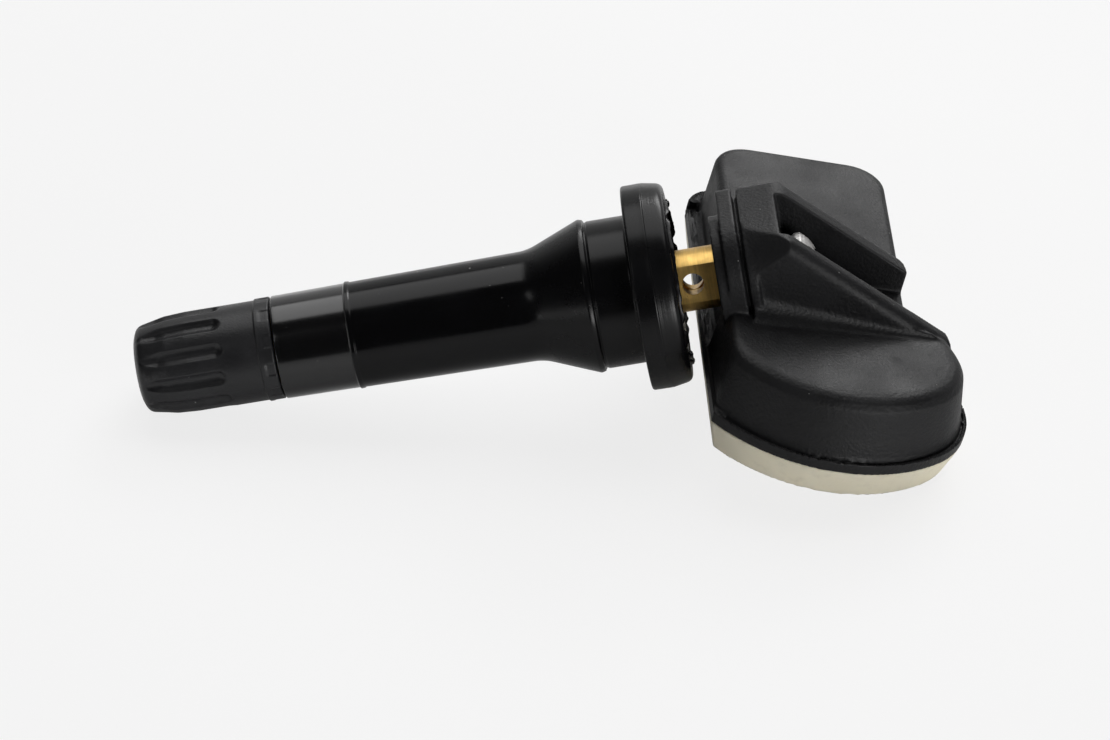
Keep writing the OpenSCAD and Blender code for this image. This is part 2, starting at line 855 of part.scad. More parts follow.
module housing_shell() {
    color("#2c2c2e")
        difference() {
            union() {
                on_base() {
                    translate([0, 0, base_t])
                        linear_extrude(rim_h)
                            polygon(rim_outline(0));
                    translate([0, 0, rim_top - 0.4])
                        linear_extrude(shoulder_z - rim_top + 0.4)
                            polygon(rim_outline(rim_step + lobe_draft));
                    near_lobe();
                    far_lobe();
                }
                webs();
                web_feet();
                intersection() {
                    tower_plate();
                    on_base()
                        translate([0, -20, rim_top])
                            cube([40, 40, 40]);
                }
            }
            driver_channel();
            rim_groove();
            ledge_notch();
            flatted_bar(
                tail_d / 2 + fit_gap,
                tail_flats + 2 * fit_gap,
                pad_x - 3,
                tail_end_x + fit_gap
            );
            rod(screw_d / 2 + 0.2, tail_end_x, head_seat_x + overcut);
            on_base() {
                housing_cavity();
                translate([sensor_c()[0], sensor_c()[1], 0])
                    cylinder(d = port_d, h = far_h + overcut);
            }
        }
}

module clamp_screw() {
    head_r = screw_head_d / 2;
    edge_r = 0.5;
    rim_t = 0.9;
    dome_h = screw_head_h - rim_t;
    dome_r = (head_r * head_r + dome_h * dome_h) / (2 * dome_h);
    dome_c = head_seat_x + screw_head_h - dome_r;
    edge_a = acos((head_seat_x + rim_t - dome_c) / dome_r);
    socket_x = head_seat_x + screw_head_h - 1.5;
    color("#c9cacb")
        difference() {
            union() {
                rod(screw_d / 2 - fit_gap, tail_end_x - screw_hole_depth + 0.5, head_seat_x + 0.1);
                on_axis()
                    rotate_extrude()
                        polygon(concat(
                            [[0, head_seat_x]],
                            arc([head_r - edge_r, head_seat_x + edge_r], edge_r, -90, 0, 4),
                            [for (i = [0:6])
                                let (a = edge_a * (1 - i / 6))
                                [dome_r * sin(a), dome_c + dome_r * cos(a)]]
                        ));
            }
            rod(0.98, socket_x, head_seat_x + screw_head_h + overcut);
            for (i = [0:5])
                rotate([60 * i, 0, 0])
                    translate([0, 0, 1])
                        rod(0.38, socket_x, head_seat_x + screw_head_h + overcut);
        }
}

module base_cover() {
    lip_w = 1;
    lip_h = 0.5;
    color("#c9bfa4")
        on_base() {
            difference() {
                drafted(0, rim_outline(base_draft), base_t, rim_outline(0));
                // Shallow panel in the underside
                translate([0, 0, -overcut])
                    linear_extrude(0.3 + overcut)
                        polygon(rim_outline(base_draft + 2));
            }
            // Locating ring inside the cell pocket
            translate([cell_c[0], cell_c[1], base_t])
                difference() {
                    cylinder(r = cell_d / 2 + 0.2, h = lip_h);
                    translate([0, 0, -overcut])
                        cylinder(r = cell_d / 2 + 0.2 - lip_w, h = lip_h + 2 * overcut);
                    translate([-3 - tab_w, 0, -overcut])
                        cube([2 * tab_w + 6, cell_d, lip_h + 2 * overcut]);
                }
        }
}

module on_board(x, y) {
    on_base()
        translate([x, y, board_top])
            children();
}

function sensor_c() = [board_x[0] + 3.6, board_y[0] + 3.4];

module circuit_board() {
    color("#1f5a3a")
        on_base()
            translate([board_x[0], board_y[0], board_z])
                cube([board_x[1] - board_x[0], board_y[1] - board_y[0], board_t]);
}

module battery_cell() {
    rim = 0.6;
    color("#c4c6c8")
        on_base()
            translate([cell_c[0], cell_c[1], cell_z])
                rotate_extrude()
                    polygon([
                        [0, 0], [cell_d / 2 - rim, 0], [cell_d / 2 - rim, 0.35],
                        [cell_d / 2, 0.6], [cell_d / 2, cell_t], [0, cell_t]
                    ]);
}

// Spot-welded strip from the cell to the board
module battery_tab_top() {
    z = cell_z + cell_t;
    y0 = cell_c[1] + 2;
    y1 = board_y[0] + 1.2;
    color("#d0d1d2")
        on_base()
            translate([cell_c[0] + 2, 0, 0]) {
                translate([0, y0, z])
                    cube([tab_w, y1 - y0, tab_t]);
                translate([0, y1 - tab_t, board_top])
                    cube([tab_w, tab_t, z - board_top + 0.05]);
            }
}

module battery_tab_bottom() {
    y0 = cell_c[1] + 3;
    y1 = board_y[0] + 1.4;
    color("#d0d1d2")
        on_base()
            translate([cell_c[0] - 2 - tab_w, 0, 0]) {
                translate([0, y0, cell_z - tab_t])
                    cube([tab_w, y1 - y0, tab_t]);
                translate([0, y1 - tab_t, cell_z - tab_t])
                    cube([tab_w, tab_t, board_z - cell_z + tab_t]);
            }
}

module sensor_chip() {
    c = sensor_c();
    color("#26282a")
        on_board(c[0], c[1])
            difference() {
                translate([-2.5, -2.5, 0])
                    cube([5, 5, 1.7]);
                translate([0, 0, 1.1])
                    cylinder(d = port_d - 0.4, h = overcut);
            }
}

// Soft collar between the sensor chip and the port in the roof
module port_seal() {
    c = sensor_c();
    color("#8d3b30")
        on_board(c[0], c[1])
            translate([0, 0, 1.7])
                difference() {
                    cylinder(r = port_d / 2 + 0.9, h = pocket_z - board_top - 1.7 - fit_gap);
                    translate([0, 0, -overcut])
                        cylinder(d = port_d, h = far_h);
                }
}

module radio_chip() {
    color("#222426")
        on_board(board_x[0] + 9.4, board_y[0] + 3.2)
            translate([-2, -2, 0])
                cube([4, 4, 0.9]);
}

module lf_coil() {
    color("#4a3424")
        on_board(board_x[0] + 3.6, board_y[1] - 4.2)
            difference() {
                translate([-3.1, -2.4, 0])
                    cube([6.2, 4.8, 2.6]);
                for (side = [-1, 1])
                    translate([side * 3.1 - 0.4, -1.2, -overcut])
                        cube([0.8, 2.4, 2.6 + 2 * overcut]);
            }
}

module crystal() {
    color("#c0c2c4")
        on_board(board_x[0] + 9.4, board_y[1] - 6)
            translate([-1.6, -1.25, 0])
                cube([3.2, 2.5, 0.8]);
}

// Stamped strip antenna that stands on the edge of the board
module antenna_loop() {
    x1 = board_x[1] - 0.6;
    y0 = board_y[0] + 1.4;
    y1 = board_y[1] - 0.8;
    z = 3.4;
    t = 0.4;
    color("#b98a4e")
        on_board(0, 0) {
            translate([x1 - 1.2, y0, 0])
                cube([1.2, t, z]);
            translate([x1 - 1.2, y0, z])
                cube([1.2, y1 - y0, t]);
            translate([x1 - 1.2, y1 - t, 0])
                cube([1.2, t, z]);
        }
}

module chip_capacitors() {
    color("#b3a184")
        for (i = [0:4])
            on_board(board_x[0] + 8 + 1.1 * i, board_y[1] - 3.2)
                cube([0.6, 1.2, 0.6]);
}

cap_shell();
cap_seal();
stem_tube();
stem_rubber();
core_barrel();
core_seal();
core_pin();
core_spring();
core_cup();
housing_shell();
clamp_screw();
base_cover();
circuit_board();
battery_cell();
battery_tab_top();
battery_tab_bottom();
sensor_chip();
port_seal();
radio_chip();
lf_coil();
crystal();
antenna_loop();
chip_capacitors();
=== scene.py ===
"""Looks of a tyre pressure sensor on a snap-in rubber valve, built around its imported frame."""

import logging
import math
import random
from collections.abc import Callable, Sequence
from dataclasses import dataclass, field
from enum import Enum
from typing import Any

import bmesh
import bpy
import numpy as np
from mathutils import Matrix, Vector


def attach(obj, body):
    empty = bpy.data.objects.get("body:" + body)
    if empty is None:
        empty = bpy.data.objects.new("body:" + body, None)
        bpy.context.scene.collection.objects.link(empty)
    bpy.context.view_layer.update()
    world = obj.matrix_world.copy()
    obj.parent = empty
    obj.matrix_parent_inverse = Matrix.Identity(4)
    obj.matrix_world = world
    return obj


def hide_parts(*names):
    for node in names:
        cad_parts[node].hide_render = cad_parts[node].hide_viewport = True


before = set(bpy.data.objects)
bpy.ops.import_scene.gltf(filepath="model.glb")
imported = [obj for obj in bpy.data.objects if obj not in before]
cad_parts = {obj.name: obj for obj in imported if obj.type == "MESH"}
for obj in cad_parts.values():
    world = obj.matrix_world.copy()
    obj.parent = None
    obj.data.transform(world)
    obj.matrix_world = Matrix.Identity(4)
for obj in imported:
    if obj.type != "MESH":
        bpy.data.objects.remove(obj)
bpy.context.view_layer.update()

MM = 0.001
LOG = logging.getLogger("scene")
Colour = tuple[float, float, float]


class Body(str, Enum):
    """The rigid bodies that the new pieces ride on."""

    VALVE = "valve"
    CAP = "cap"


class Slot(str, Enum):
    """The material slots of the part's record."""

    CAP = "cap_plastic"
    SEAL = "seal_rubber"
    STEM = "stem_brass"
    RUBBER = "valve_rubber"
    CORE = "core_metal"
    CORE_RING = "core_ring"
    PIN = "pin_brass"
    SPRING = "spring_wire"
    HOUSING = "housing_plastic"
    SCREW = "screw_steel"
    COVER = "cover_plastic"
    BOARD = "board_laminate"
    CELL = "cell_steel"
    TAB = "tab_nickel"
    CHIP = "chip_black"
    SILICONE = "seal_silicone"
    FERRITE = "ferrite"
    CRYSTAL = "crystal_can"
    ANTENNA = "antenna_metal"
    CERAMIC = "chip_ceramic"


class Value:
    """A number that changes over a surface: a node's socket with arithmetic."""

    def __init__(self, nodes: "Nodes", socket: bpy.types.NodeSocket) -> None:
        """Wraps a socket.

        Args:
            nodes: the tree that holds the socket.
            socket: the output socket that carries the number.
        """
        self.nodes = nodes
        self.socket = socket

    def maths(self, operation: str, *terms: "Value | float", clamp: bool = False) -> "Value":
        """Adds one Math node.

        Args:
            operation: the name of the node's operation.
            terms: the numbers or values that the node reads, in order.
            clamp: whether the result is kept between 0 and 1.

        Returns:
            The node's result.
        """
        settings = {"operation": operation, "use_clamp": clamp}
        return self.nodes.node("ShaderNodeMath", settings, dict(enumerate(terms)))

    def __add__(self, other: "Value | float") -> "Value":
        """Returns the sum."""
        return self.maths("ADD", self, other)

    def __radd__(self, other: float) -> "Value":
        """Returns the sum, with the number first."""
        return self.maths("ADD", other, self)

    def __sub__(self, other: "Value | float") -> "Value":
        """Returns the difference."""
        return self.maths("SUBTRACT", self, other)

    def __rsub__(self, other: float) -> "Value":
        """Returns the difference, with the number first."""
        return self.maths("SUBTRACT", other, self)

    def __mul__(self, other: "Value | float") -> "Value":
        """Returns the product."""
        return self.maths("MULTIPLY", self, other)

    def __rmul__(self, other: float) -> "Value":
        """Returns the product, with the number first."""
        return self.maths("MULTIPLY", other, self)

    def clamped(self) -> "Value":
        """Returns the value kept between 0 and 1."""
        return self.maths("ADD", self, 0.0, clamp=True)

    def between(self, low: float, high: float) -> "Value":
        """Turns the value into a smooth mask.

        Args:
            low: the value at which the mask is 0.
            high: the value at which the mask is 1.

        Returns:
            The mask, from 0 to 1.
        """
        settings = {"interpolation_type": "SMOOTHSTEP"}
        inputs = {"Value": self, "From Min": low, "From Max": high}
        return self.nodes.node("ShaderNodeMapRange", settings, inputs)


class Nodes:
    """One node tree and the call that adds to it."""

    def __init__(self, tree: bpy.types.NodeTree) -> None:
        """Wraps a tree.

        Args:
            tree: the node tree of a material or of the world.
        """
        self.tree = tree

    def node(
        self,
        kind: str,
        settings: dict[str, Any],
        inputs: dict[Any, Any],
        output: int | str = 0,
    ) -> Value:
        """Adds any node.

        Args:
            kind: the node's type.
            settings: the node's own settings, set before its sockets.
            inputs: a number, colour or value for each socket, by name or place.
            output: the name or place of the socket that is returned.

        Returns:
            The chosen output.
        """
        made = self.tree.nodes.new(kind)
        for name, setting in settings.items():
            setattr(made, name, setting)
        for key, entry in inputs.items():
            if isinstance(entry, Value):
                self.tree.links.new(entry.socket, made.inputs[key])
            else:
                made.inputs[key].default_value = entry
        return Value(self, made.outputs[output])

    def ray(self, kind: str) -> Value:
        """Returns 1 for the rays of one kind, such as Is Camera Ray, and 0 for others."""
        return self.node("ShaderNodeLightPath", {}, {}, output=kind)


class Shader(Nodes):
    """One material and the calls that lay out its nodes."""

    def __init__(self, name: str) -> None:
        """Makes a material with one Principled shader.

        Args:
            name: the material's name.
        """
        self.material = bpy.data.materials.new(name)
        self.material.use_nodes = True
        super().__init__(self.material.node_tree)
        self.surface = self.tree.nodes["Principled BSDF"]
        self.place = self.node("ShaderNodeTexCoord", {}, {}, output="Object")

    def stretched(self, scale: Colour) -> Value:
        """Scales the place along each axis.

        Args:
            scale: the factor along X, Y and Z.

        Returns:
            The scaled place.
        """
        return self.node(
            "ShaderNodeVectorMath", {"operation": "MULTIPLY"}, {0: self.place, 1: scale}
        )

    def noise(self, scale: float, detail: float = 2.0, at: Value | None = None) -> Value:
        """Adds soft noise.

        Args:
            scale: waves for each metre.
            detail: how many finer layers are added.
            at: the place that the noise reads, or None for the object's own.

        Returns:
            The noise, about 0.5 on average.
        """
        inputs = {"Vector": at or self.place, "Scale": scale, "Detail": detail}
        return self.node("ShaderNodeTexNoise", {}, inputs)

    def specks(self, scale: float, size: float, share: float) -> Value:
        """Adds small round specks, such as dust.

        Args:
            scale: cells for each metre.
            size: the radius of a speck, in cells.
            share: the share of the cells that hold a speck.

        Returns:
            A mask that is 1 in the specks.
        """
        cell = {"Vector": self.place, "Scale": scale}
        near = self.node("ShaderNodeTexVoronoi", {}, cell, output="Distance")
        tint = self.node("ShaderNodeTexVoronoi", {}, cell, output="Color")
        pick = self.node("ShaderNodeSeparateColor", {}, {"Color": tint}, output="Red")
        return near.between(size, size * 0.4) * pick.between(1 - share, 1 - share * 0.6)

    def blend(self, low: Colour, high: Colour, mask: Value) -> Value:
        """Mixes two colours.

        Args:
            low: the colour where the mask is 0.
            high: the colour where the mask is 1.
            mask: the mask.

        Returns:
            The mixed colour.
        """
        inputs = {"Factor": mask, 6: (*low, 1.0), 7: (*high, 1.0)}
        return self.node("ShaderNodeMix", {"data_type": "RGBA"}, inputs, output=2)

    def over(self, under: Value, colour: Colour, mask: Value) -> Value:
        """Lays a colour over another.

        Args:
            under: the colour below.
            colour: the colour on top.
            mask: where the top colour shows.

        Returns:
            The mixed colour.
        """
        inputs = {"Factor": mask, 6: under, 7: (*colour, 1.0)}
        return self.node("ShaderNodeMix", {"data_type": "RGBA"}, inputs, output=2)

    def put(self, name: str, entry: Value | float | Colour) -> None:
        """Sets or links one socket of the Principled shader.

        Args:
            name: the socket's name.
            entry: a value to link, or a number or colour to set.
        """
        socket = self.surface.inputs[name]
        if isinstance(entry, Value):
            self.tree.links.new(entry.socket, socket)
        else:
            socket.default_value = (*entry, 1.0) if isinstance(entry, tuple) else entry

    def relief(self, height: Value, depth: float) -> None:
        """Bumps the surface.

        Args:
            height: the relief, from 0 to 1.
            depth: the depth of the relief, in metres.
        """
        inputs = {"Height": height, "Distance": depth, "Strength": 1.0}
        bump = self.node("ShaderNodeBump", {}, inputs)
        self.put("Normal", bump)


@dataclass(frozen=True)
class Finish:
    """A finish that covers the surface of a piece."""

    slot: Slot
    colour: Colour
    roughness: float
    metallic: float = 0.0
    specular: float = 0.5

    def material(self) -> bpy.types.Material:
        """Returns the material, made on its first use."""
        name = f"{self.slot.value}_finish"
        found = bpy.data.materials.get(name)
        if found:
            return found
        shader = Shader(name)
        shader.put("Metallic", self.metallic)
        shader.put("Specular IOR Level", self.specular)
        self.paint(shader)
        return shader.material

    def tone(self, factor: float) -> Colour:
        """Returns the finish's colour, made lighter or darker by a factor."""
        red, green, blue = self.colour
        return (red * factor, green * factor, blue * factor)

    def paint(self, shader: Shader) -> None:
        """Lays out the nodes.

        Args:
            shader: the shader to fill.
        """
        mottle = shader.noise(900.0, 3.0).between(0.3, 0.7)
        shader.put("Base Color", shader.blend(self.tone(0.9), self.tone(1.1), mottle))
        shader.put("Roughness", self.roughness - 0.05 + 0.1 * mottle)
        shader.relief(shader.noise(6000.0), 0.000004)

    def dress(self, piece: bpy.types.Object) -> None:
        """Gives a piece this finish.

        Args:
            piece: a CAD node or a new piece.
        """
        piece.data.materials.clear()
        piece.data.materials.append(self.material())


@dataclass(frozen=True)
class MouldedPlastic(Finish):
    """Black plastic from a spark-eroded mould: fine grain, soft scuffs and a little dust."""

    grain: float = 5200.0
    grain_depth: float = 0.000012
    dust: Colour = (0.30, 0.30, 0.29)
    dust_share: float = 0.05

    def paint(self, shader: Shader) -> None:
        """Lays out the nodes.

        Args:
            shader: the shader to fill.
        """
        grain = shader.noise(self.grain, 3.0)
        cloud = shader.noise(160.0, 4.0).between(0.32, 0.68)
        scuff = shader.noise(420.0, 5.0).between(0.55, 0.74)
        dust = shader.specks(1100.0, 0.10, self.dust_share)
        tint = shader.blend(self.tone(0.82), self.tone(1.2), cloud)
        tint = shader.over(tint, self.tone(1.7), scuff * 0.35)
        shader.put("Base Color", shader.over(tint, self.dust, dust * 0.75))
        rough = self.roughness + 0.10 * (cloud - 0.5) + 0.07 * scuff + 0.08 * (grain - 0.5)
        shader.put("Roughness", rough.clamped())
        shader.relief(grain + dust * 0.8, self.grain_depth)


@dataclass(frozen=True)
class ValveRubber(Finish):
    """Moulded rubber: satin, with smudges, moulding lines and pale dust."""

    dust: Colour = (0.55, 0.54, 0.52)
    smooth_to: float = -0.0110
    rough_from: float = -0.0080
    rougher: float = 0.12
    tip: float = -0.0271
    tip_gloss: float = 0.0

    def paint(self, shader: Shader) -> None:
        """Lays out the nodes.

        Args:
            shader: the shader to fill.
        """
        along = shader.node("ShaderNodeSeparateXYZ", {}, {0: shader.place}, output=0)
        foot = along.between(self.smooth_to, self.rough_from)
        if self.tip_gloss:
            shader.put("Coat Weight", along.between(self.tip, self.tip - 0.0002) * self.tip_gloss)
            shader.put("Coat Roughness", self.roughness)
        skin = shader.noise(3800.0, 3.0)
        smudge = shader.noise(210.0, 5.0, shader.stretched((0.45, 1.0, 1.0))).between(0.36, 0.7)
        lines = shader.noise(5200.0, 1.0, shader.stretched((1.0, 0.012, 0.012)))
        dust = shader.specks(800.0, 0.085, 0.08)
        fine = shader.specks(2100.0, 0.10, 0.05)
        tint = shader.blend(self.tone(0.85), self.tone(1.25), smudge)
        tint = shader.over(tint, self.dust, dust * 0.7)
        shader.put("Base Color", shader.over(tint, self.dust, fine * 0.5))
        rough = self.roughness + 0.09 * (smudge - 0.5) + 0.05 * (skin - 0.5) + 0.25 * dust
        shader.put("Roughness", (rough + self.rougher * foot).clamped())
        shader.relief(skin * 0.45 + lines * (0.5 + foot) + dust * 2.0, 0.000005)


@dataclass(frozen=True)
class MachinedMetal(Finish):
    """Turned or milled metal with fine tool marks across the valve's axis."""

    tarnish: Colour = (0.20, 0.12, 0.04)
    marks: float = 6500.0
    mark_depth: float = 0.000004
    along: Colour = (1.0, 0.05, 0.05)
    tarnish_share: float = 0.55

    def paint(self, shader: Shader) -> None:
        """Lays out the nodes.

        Args:
            shader: the shader to fill.
        """
        marks = shader.noise(self.marks, 3.0, shader.stretched(self.along))
        stain = shader.noise(700.0, 5.0).between(0.42, 0.78)
        nick = shader.specks(1500.0, 0.14, 0.10)
        tint = shader.blend(self.tone(0.88), self.tone(1.08), marks.between(0.3, 0.7))
        tint = shader.over(tint, self.tarnish, stain * self.tarnish_share * 0.5)
        shader.put("Base Color", shader.over(tint, self.tarnish, nick * self.tarnish_share))
        shader.put("Roughness", (self.roughness + 0.16 * stain + 0.14 * (marks - 0.5)).clamped())
        shader.relief(marks - 1.5 * nick, self.mark_depth)


@dataclass(frozen=True)
class NaturalPlastic(Finish):
    """Pale, unpigmented plastic: waxy, slightly cloudy, with handling marks."""

    shade: Colour = (0.40, 0.34, 0.25)

    def paint(self, shader: Shader) -> None:
        """Lays out the nodes.

        Args:
            shader: the shader to fill.
        """
        cloud = shader.noise(130.0, 4.0).between(0.3, 0.72)
        flow = shader.noise(900.0, 3.0, shader.stretched((1.0, 0.4, 1.0)))
        grain = shader.noise(4600.0, 2.0)
        soil = shader.specks(900.0, 0.10, 0.06)
        tint = shader.blend(self.tone(0.93), self.tone(1.05), cloud)
        tint = shader.over(tint, self.shade, flow.between(0.5, 0.85) * 0.22)
        shader.put("Base Color", shader.over(tint, self.shade, soil * 0.6))
        shader.put("Roughness", (self.roughness + 0.12 * (cloud - 0.5)).clamped())
        shader.put("Subsurface Weight", 0.12)
        self.set_scatter(shader)
        shader.relief(grain + flow * 0.6, 0.000009)

    def set_scatter(self, shader: Shader) -> None:
        """Sets how far light travels inside the plastic."""
        shader.surface.inputs["Subsurface Radius"].default_value = (1.0, 0.8, 0.55)
        shader.put("Subsurface Scale", 0.0012)


@dataclass(frozen=True)
class BoardLaminate(Finish):
    """Green solder mask over copper tracks, with tinned pads."""

    copper: Colour = (0.05, 0.26, 0.11)
    pad: Colour = (0.62, 0.60, 0.52)

    def paint(self, shader: Shader) -> None:
        """Lays out the nodes.

        Args:
            shader: the shader to fill.
        """
        settings = {"bands_direction": "X", "wave_profile": "TRI"}
        inputs = {"Vector": shader.place, "Scale": 260.0, "Distortion": 5.0, "Detail Scale": 2.0}
        track = shader.node("ShaderNodeTexWave", settings, inputs, output=1).between(0.55, 0.62)
        pads = shader.specks(620.0, 0.22, 0.3)
        tint = shader.blend(self.colour, self.copper, track)
        shader.put("Base Color", shader.over(tint, self.pad, pads))
        shader.put("Roughness", self.roughness - 0.12 * pads)
        shader.put("Metallic", pads * 0.9)
        shader.relief(track + pads, 0.00002)


@dataclass(frozen=True)
class StageFinish:
    """The plain surface of the floor, white behind the object and soft in its shadow.

    The lift is how far the camera sees it as white, and the gloss how far reflections do, in
    front of the object and behind it, over the span along Y.
    """

    colour: Colour = (0.85, 0.85, 0.85)
    lift: float = 0.80
    gloss: tuple[float, float] = (0.10, 0.45)
    span: tuple[float, float] = (-0.05, 0.5)

    def tone(self, factor: float) -> Colour:
        """Returns the floor's colour, made lighter or darker by a factor."""
        red, green, blue = self.colour
        return (red * factor, green * factor, blue * factor)

    def dress(self, piece: bpy.types.Object) -> None:
        """Gives the floor its material.

        Args:
            piece: the floor.
        """
        shader = Shader("floor_white")
        cloud = shader.noise(14.0, 3.0).between(0.2, 0.8)
        shader.put("Base Color", shader.blend(self.tone(0.97), self.tone(1.03), cloud))
        shader.put("Roughness", 0.9)
        glow = shader.node("ShaderNodeEmission", {}, {"Color": (1, 1, 1, 1), "Strength": 1.0})
        body = Value(shader, shader.surface.outputs[0])
        y = shader.node("ShaderNodeSeparateXYZ", {}, {0: shader.place}, output=1)
        front, back = self.gloss
        sheen = shader.ray("Is Glossy Ray") * (front + (back - front) * y.between(*self.span))
        seen = (shader.ray("Is Camera Ray") + shader.ray("Is Transmission Ray")) * self.lift
        mixed = shader.node("ShaderNodeMixShader", {}, {0: seen + sheen, 1: body, 2: glow})
        out = shader.tree.nodes["Material Output"]
        shader.tree.links.new(mixed.socket, out.inputs["Surface"])
        piece.data.materials.append(shader.material)


CAP_PLASTIC = MouldedPlastic(
    Slot.CAP, (0.013, 0.013, 0.0145), 0.36, grain=4600.0, grain_depth=0.00002
)
HOUSING_PLASTIC = MouldedPlastic(
    Slot.HOUSING,
    (0.0060, 0.0060, 0.0068),
    0.50,
    specular=0.33,
    grain=3400.0,
    grain_depth=0.00006,
)
RUBBER = ValveRubber(Slot.RUBBER, (0.003, 0.003, 0.0035), 0.17, specular=0.24, tip_gloss=0.95)
SEAL_RUBBER = ValveRubber(Slot.SEAL, (0.020, 0.020, 0.021), 0.5)
SILICONE = ValveRubber(Slot.SILICONE, (0.30, 0.055, 0.035), 0.5)
BRASS = MachinedMetal(Slot.STEM, (0.72, 0.47, 0.15), 0.32, metallic=1.0)
PIN_BRASS = MachinedMetal(Slot.PIN, (0.74, 0.54, 0.25), 0.24, metallic=1.0)
CORE_METAL = MachinedMetal(
    Slot.CORE, (0.62, 0.61, 0.56), 0.27, metallic=1.0, tarnish=(0.25, 0.23, 0.18)
)
SPRING_WIRE = MachinedMetal(
    Slot.SPRING, (0.64, 0.63, 0.61), 0.2, metallic=1.0, tarnish=(0.24, 0.23, 0.21)
)
SCREW_METAL = MachinedMetal(
    Slot.SCREW,
    (0.56, 0.55, 0.54),
    0.46,
    metallic=1.0,
    tarnish=(0.30, 0.29, 0.28),
    marks=4200.0,
    along=(0.4, 1.0, 1.0),
    tarnish_share=0.35,
)
CELL_METAL = MachinedMetal(
    Slot.CELL, (0.68, 0.68, 0.69), 0.28, metallic=1.0, tarnish=(0.34, 0.34, 0.33), along=(0.08, 1.0, 1.0)
)
TAB_METAL = MachinedMetal(
    Slot.TAB, (0.66, 0.64, 0.60), 0.3, metallic=1.0, tarnish=(0.30, 0.28, 0.25), along=(1.0, 0.1, 1.0)
)
CRYSTAL_METAL = MachinedMetal(
    Slot.CRYSTAL, (0.64, 0.65, 0.66), 0.25, metallic=1.0, tarnish=(0.30, 0.30, 0.30)
)
ANTENNA_METAL = MachinedMetal(
    Slot.ANTENNA, (0.66, 0.43, 0.20), 0.28, metallic=1.0, along=(1.0, 0.1, 1.0)
)
COVER_PLASTIC = NaturalPlastic(Slot.COVER, (0.86, 0.80, 0.63), 0.46)
CORE_RING = Finish(Slot.CORE_RING, (0.42, 0.09, 0.05), 0.4)
BOARD = BoardLaminate(Slot.BOARD, (0.018, 0.12, 0.05), 0.38)
CHIP = MouldedPlastic(Slot.CHIP, (0.018, 0.018, 0.02), 0.55, grain=9000.0, dust_share=0.01)
FERRITE = Finish(Slot.FERRITE, (0.055, 0.045, 0.042), 0.5)
CERAMIC = Finish(Slot.CERAMIC, (0.46, 0.35, 0.22), 0.42)


def linked(name: str, mesh: bpy.types.Mesh) -> bpy.types.Object:
    """Puts a mesh in the scene.

    Args:
        name: the piece's name.
        mesh: its mesh, in metres.

    Returns:
        The new piece.
    """
    piece = bpy.data.objects.new(name, mesh)
    bpy.context.scene.collection.objects.link(piece)
    return piece


def tidy_normals(mesh: bpy.types.Mesh) -> None:
    """Turns the faces of a closed mesh outward and shades them smooth."""
    work = bmesh.new()
    work.from_mesh(mesh)
    bmesh.ops.recalc_face_normals(work, faces=work.faces)
    work.to_mesh(mesh)
    work.free()
    mesh.shade_smooth()


def turned(name: str, rings: np.ndarray, caps: tuple[bool, bool] = (True, True)) -> bpy.types.Object:
    """Skins a closed surface over rings of points around the valve's axis.

    Args:
        name: the piece's name.
        rings: points in millimetres, by station, column and axis.
        caps: whether the first and the last ring are closed by a fan.

    Returns:
        The new piece.
    """
    stations, columns, _ = rings.shape
    points = rings.reshape(-1, 3) * MM
    place = np.arange(stations * columns).reshape(stations, columns)
    after = np.roll(place, -1, axis=1)
    quads = np.stack([place[:-1], after[:-1], after[1:], place[1:]], axis=-1).reshape(-1, 4)
    faces: list[Sequence[int]] = quads.tolist()
    extra = []
    for closed, station in zip(caps, (0, stations - 1)):
        if closed:
            centre = len(points) + len(extra)
            extra.append(rings[station].mean(axis=0) * MM)
            faces += [
                (int(place[station, k]), int(after[station, k]), centre) for k in range(columns)
            ]
    if extra:
        points = np.vstack([points, extra])
    mesh = bpy.data.meshes.new(name)
    mesh.from_pydata(points.tolist(), [], faces)
    tidy_normals(mesh)
    return linked(name, mesh)


def rounded(
    corners: Sequence[tuple[float, float, float]], steps: int = 5
) -> list[tuple[float, float]]:
    """Rounds the corners of a profile.

    Args:
        corners: place along the axis, distance from it and corner radius of each point.
        steps: how many steps a round corner takes.

    Returns:
        The points of the rounded profile.
    """
    line: list[tuple[float, float]] = []
    for i, (x, r, radius) in enumerate(corners):
        here = Vector((x, r))
        if radius <= 0 or i in (0, len(corners) - 1):
            line.append((x, r))
            continue
        back = Vector(corners[i - 1][:2]) - here
        ahead = Vector(corners[i + 1][:2]) - here
        turn = back.angle(ahead)
        reach = min(radius / math.tan(turn / 2), 0.49 * back.length, 0.49 * ahead.length)
        start = here + back.normalized() * reach
        end = here + ahead.normalized() * reach
        for k in range(steps + 1):
            t = k / steps
            point = start * (1 - t) ** 2 + here * (2 * t * (1 - t)) + end * t * t
            line.append((point.x, point.y))
    return line


def divided(line: Sequence[tuple[float, float]], step: float) -> list[tuple[float, float]]:
    """Adds points so that no stretch of a profile is longer than a step.

    Args:
        line: the points of the profile.
        step: the longest stretch.

    Returns:
        The profile with the added points.
    """
    out = [line[0]]
    for a, b in zip(line, line[1:]):
        count = max(1, math.ceil(math.dist(a, b) / step))
        out += [
            (a[0] + (b[0] - a[0]) * k / count, a[1] + (b[1] - a[1]) * k / count)
            for k in range(1, count + 1)
        ]
    return out


